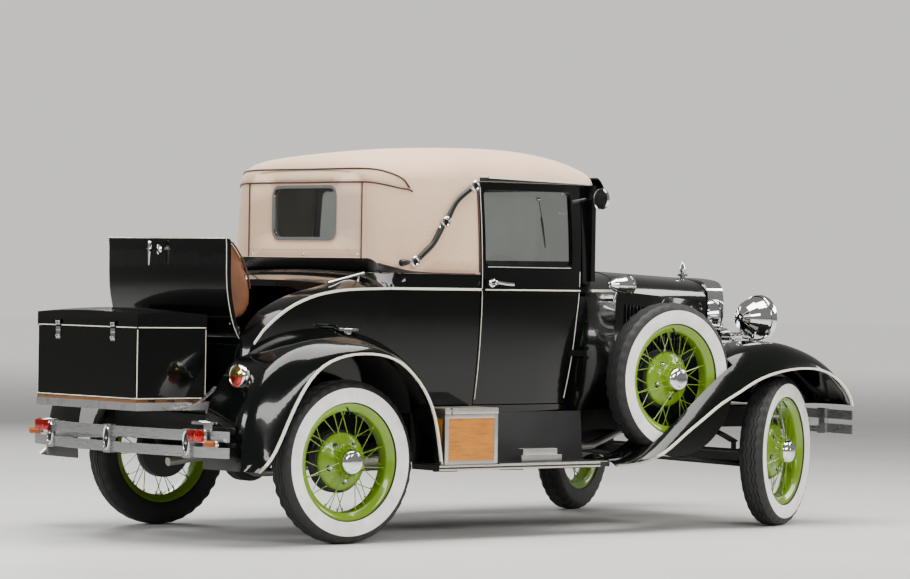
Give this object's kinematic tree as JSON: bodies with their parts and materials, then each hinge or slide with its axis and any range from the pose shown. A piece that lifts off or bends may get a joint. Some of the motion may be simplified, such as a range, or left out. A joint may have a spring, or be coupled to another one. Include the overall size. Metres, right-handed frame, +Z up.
{
  "type": "closed two-seat coupe car of about 1930",
  "caption": "Closed two-seat coupe of about 1930 with fabric top, open rumble seat lid, rear trunk on a rack, spare wheels in the front wings and wire wheels.",
  "frame": {"origin": "on the ground, at the middle of the car's length and width", "axes": "+X to the front of the car, +Y to its left, +Z up"},
  "size_m": [4.112, 1.7964, 1.7915],
  "materials": {
    "black_paint": "gloss",
    "tan_fabric": "woven, matt",
    "brown_leather": "satin",
    "chrome": "polished",
    "bumper_plate": "brushed",
    "glass": "clear",
    "green_paint": "gloss",
    "tyre_rubber": "matt",
    "dark_steel": "matt",
    "chassis_paint": "satin",
    "wood": "varnished",
    "board_rubber": "ribbed",
    "steel": "satin",
    "bright_trim": "polished",
    "core_black": "matt"
  },
  "bodies": {
    "car": {"chassis_frame": "chassis_paint", "front_axle": "dark_steel", "rear_axle": "dark_steel", "springs": "dark_steel", "engine_block": "dark_steel", "exhaust": "steel", "radiator_shell": "chrome", "radiator_core": "core_black", "front_wing_right": "black_paint", "front_wing_left": "black_paint", "rear_wing_right": "black_paint", "rear_wing_left": "black_paint", "running_boards": "board_rubber", "body_shell": "black_paint", "fabric_top": "tan_fabric", "window_frames": "chrome", "window_glass": "glass", "sun_visor": "black_paint", "landau_irons": "chrome", "cabin_seat": "brown_leather", "rumble_seat": "brown_leather", "dashboard": "wood", "steering_column": "chassis_paint", "headlamps": "chrome", "small_lamps": "chrome", "bumpers": "bumper_plate", "luggage_rack": "chassis_paint", "rack_slats": "wood", "trunk_body": "black_paint", "trunk_latches": "chrome", "board_box": "wood", "handles_and_steps": "chrome", "bonnet_frame": "black_paint", "spare_tyres": "tyre_rubber", "spare_wheels": "green_paint", "mouldings": "bright_trim"},
    "rumble_lid": {"rumble_lid": "black_paint", "rumble_backrest": "brown_leather"},
    "trunk_lid": {"trunk_lid": "black_paint"},
    "box_lid": {"board_box_lid": "wood"},
    "steering_wheel": {"steering_wheel": "chassis_paint"},
    "door_right": {"door_right": "black_paint", "door_glass_right": "glass"},
    "door_left": {"door_left": "black_paint", "door_glass_left": "glass"},
    "bonnet_right": {"bonnet_top_right": "black_paint", "bonnet_side_right": "black_paint"},
    "bonnet_left": {"bonnet_top_left": "black_paint", "bonnet_side_left": "black_paint"},
    "knuckle_left": {"knuckle_left": "dark_steel"},
    "knuckle_right": {"knuckle_right": "dark_steel"},
    "tie_rod": {"tie_rod": "dark_steel"},
    "wheel_front_left": {"tyre_front_left": "tyre_rubber", "wheel_front_left": "green_paint"},
    "wheel_front_right": {"tyre_front_right": "tyre_rubber", "wheel_front_right": "green_paint"},
    "wheel_rear_left": {"tyre_rear_left": "tyre_rubber", "wheel_rear_left": "green_paint"},
    "wheel_rear_right": {"tyre_rear_right": "tyre_rubber", "wheel_rear_right": "green_paint"}
  },
  "joints": [
    {"name": "steer_left", "type": "hinge", "parent": "car", "child": "knuckle_left", "pos_m": [1.466, 0.618, 0.362], "axis": [0, 0, 1], "range_deg": [-55, 5]},
    {"name": "steer_right", "type": "hinge", "parent": "car", "child": "knuckle_right", "pos_m": [1.466, -0.618, 0.362], "axis": [0, 0, 1], "range_deg": [-55, 5]},
    {"name": "tie_rod_swing", "type": "hinge", "parent": "knuckle_left", "child": "tie_rod", "pos_m": [1.33005, 0.55461, 0.363], "axis": [0, 0, 1], "range_deg": [-5, 55]},
    {"name": "steering_wheel_turn", "type": "hinge", "parent": "car", "child": "steering_wheel", "pos_m": [0.077, 0.33, 1.118], "axis": [0.8022, 0, -0.5971], "range_deg": [-60, 660]},
    {"name": "spin_front_left", "type": "hinge", "parent": "knuckle_left", "child": "wheel_front_left", "pos_m": [1.4267, 0.70229, 0.362], "axis": [-0.4226, 0.9063, 0], "continuous": true},
    {"name": "spin_front_right", "type": "hinge", "parent": "knuckle_right", "child": "wheel_front_right", "pos_m": [1.5053, -0.70229, 0.362], "axis": [-0.4226, 0.9063, 0], "continuous": true},
    {"name": "spin_rear_left", "type": "hinge", "parent": "car", "child": "wheel_rear_left", "pos_m": [-1.163, 0.711, 0.362], "axis": [0, 1, 0], "continuous": true},
    {"name": "spin_rear_right", "type": "hinge", "parent": "car", "child": "wheel_rear_right", "pos_m": [-1.163, -0.711, 0.362], "axis": [0, 1, 0], "continuous": true},
    {"name": "door_right_swing", "type": "hinge", "parent": "car", "child": "door_right", "pos_m": [0.337, -0.616, 1.1], "axis": [0, 0, 1], "range_deg": [0, 65]},
    {"name": "door_left_swing", "type": "hinge", "parent": "car", "child": "door_left", "pos_m": [0.337, 0.616, 1.1], "axis": [0, 0, -1], "range_deg": [0, 65]},
    {"name": "rumble_lid_swing", "type": "hinge", "parent": "car", "child": "rumble_lid", "pos_m": [-1.478, 0, 0.907], "axis": [0, 1, 0], "range_deg": [0, 78]},
    {"name": "trunk_lid_swing", "type": "hinge", "parent": "car", "child": "trunk_lid", "pos_m": [-1.678, 0, 0.9374], "axis": [0, 1, 0], "range_deg": [0, 60]},
    {"name": "box_lid_swing", "type": "hinge", "parent": "car", "child": "box_lid", "pos_m": [-0.49, -0.614, 0.592], "axis": [-1, 0, 0], "range_deg": [0, 70]},
    {"name": "bonnet_right_swing", "type": "hinge", "parent": "car", "child": "bonnet_right", "pos_m": [0.677, -0.012, 1.22677], "axis": [-0.999, 0, 0.045], "range_deg": [0, 45]},
    {"name": "bonnet_left_swing", "type": "hinge", "parent": "car", "child": "bonnet_left", "pos_m": [0.677, 0.012, 1.22677], "axis": [0.999, 0, -0.045], "range_deg": [0, 45]}
  ],
  "couplings": [
    {"joint": "steer_right", "follows": "steer_left", "ratio": 1},
    {"joint": "tie_rod_swing", "follows": "steer_left", "ratio": -1},
    {"joint": "steering_wheel_turn", "follows": "steer_left", "ratio": -12}
  ]
}
